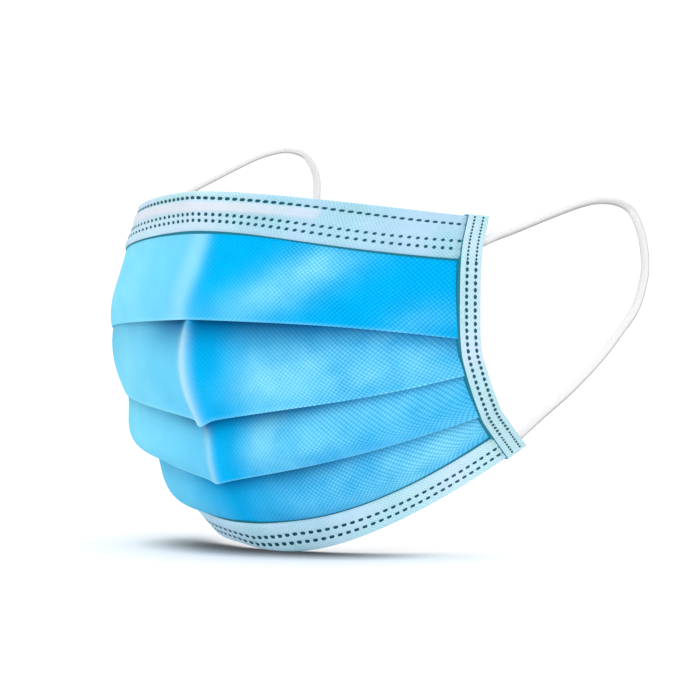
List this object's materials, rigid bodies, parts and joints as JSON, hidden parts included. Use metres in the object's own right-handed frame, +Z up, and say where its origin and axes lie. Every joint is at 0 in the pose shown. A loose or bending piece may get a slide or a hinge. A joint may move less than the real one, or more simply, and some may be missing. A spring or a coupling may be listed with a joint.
{
  "type": "surgical face mask",
  "caption": "Pleated disposable face mask in its worn form: cupped blue cloth with folds that open downwards, pale taped edges, a nose wire and elastic ear loops.",
  "frame": {"origin": "the nose seat: middle of the top band's inner face, half way down the band, where it rests on the bridge of the nose", "axes": "the mask faces -Y, +Z is up, and +X is the wearer's left"},
  "size_m": [0.149, 0.153, 0.1342],
  "materials": {
    "blue_cloth": "matt spunbond cloth with a fine embossed grid",
    "pale_tape": "matt spunbond tape, welded along rows of small marks",
    "wire": "plastic-covered flat wire",
    "elastic": "knitted round elastic"
  },
  "bodies": {
    "root": {"mask_body": "blue_cloth", "top_band": "pale_tape", "bottom_band": "pale_tape", "side_binding_left": "pale_tape", "side_binding_right": "pale_tape", "nose_wire": "wire", "ear_loop_left": "elastic", "ear_loop_right": "elastic"}
  },
  "joints": []
}
